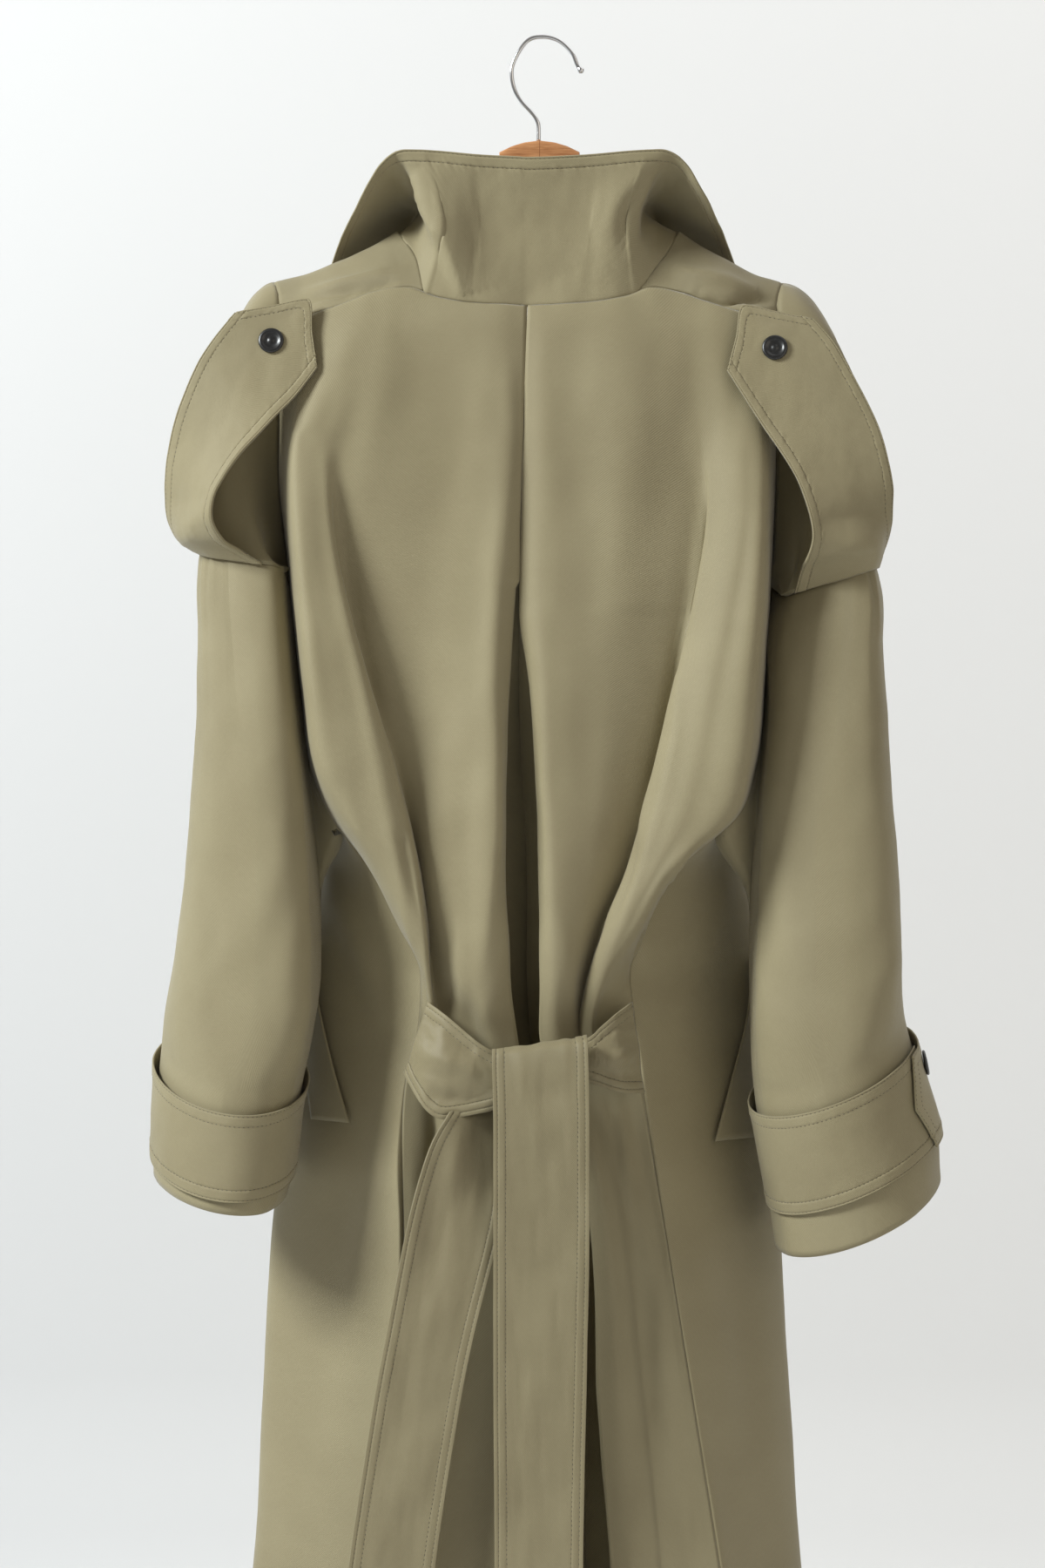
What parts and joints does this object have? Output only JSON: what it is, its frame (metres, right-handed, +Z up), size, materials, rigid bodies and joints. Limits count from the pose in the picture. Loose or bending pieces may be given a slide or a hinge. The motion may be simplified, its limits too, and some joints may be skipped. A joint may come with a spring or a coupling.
{
  "type": "kimono coat on a coat hanger",
  "caption": "Long oversized belted coat with large stand collar, looped shoulder straps and centre back pleat, hung on a wooden coat hanger with a wire hook.",
  "frame": {"origin": "the hook's hang point: the inside of the hook's top, where it rests on a rail", "axes": "+Z up; -Y out of the coat's back, +Y out of its fronts; +X towards the coat's right side"},
  "size_m": [0.6242, 0.2111, 1.4338],
  "materials": {
    "gabardine": "sage-khaki cotton gabardine, fine diagonal twill, soft sheen",
    "belting": "the same gabardine, pressed and shinier, two layers",
    "beech": "varnished reddish beech",
    "hook_wire": "bright chromed wire",
    "horn": "polished black, plain rim"
  },
  "bodies": {
    "root": {"back_left": "gabardine", "back_right": "gabardine", "front_left": "gabardine", "front_right": "gabardine", "sleeve_cap_left": "gabardine", "sleeve_cap_right": "gabardine", "sleeve_left": "gabardine", "sleeve_right": "gabardine", "collar": "gabardine", "strap_left": "gabardine", "strap_right": "gabardine", "strap_button_left": "horn", "strap_button_right": "horn", "cuff_strap_left": "gabardine", "cuff_strap_right": "gabardine", "cuff_button_left": "horn", "cuff_button_right": "horn", "pocket_welt_left": "gabardine", "pocket_welt_right": "gabardine", "belt_left": "belting", "belt_right": "belting", "belt_tail_front": "belting", "belt_tail_rear": "belting", "hanger_wood": "beech", "hanger_hook": "hook_wire"}
  },
  "joints": []
}
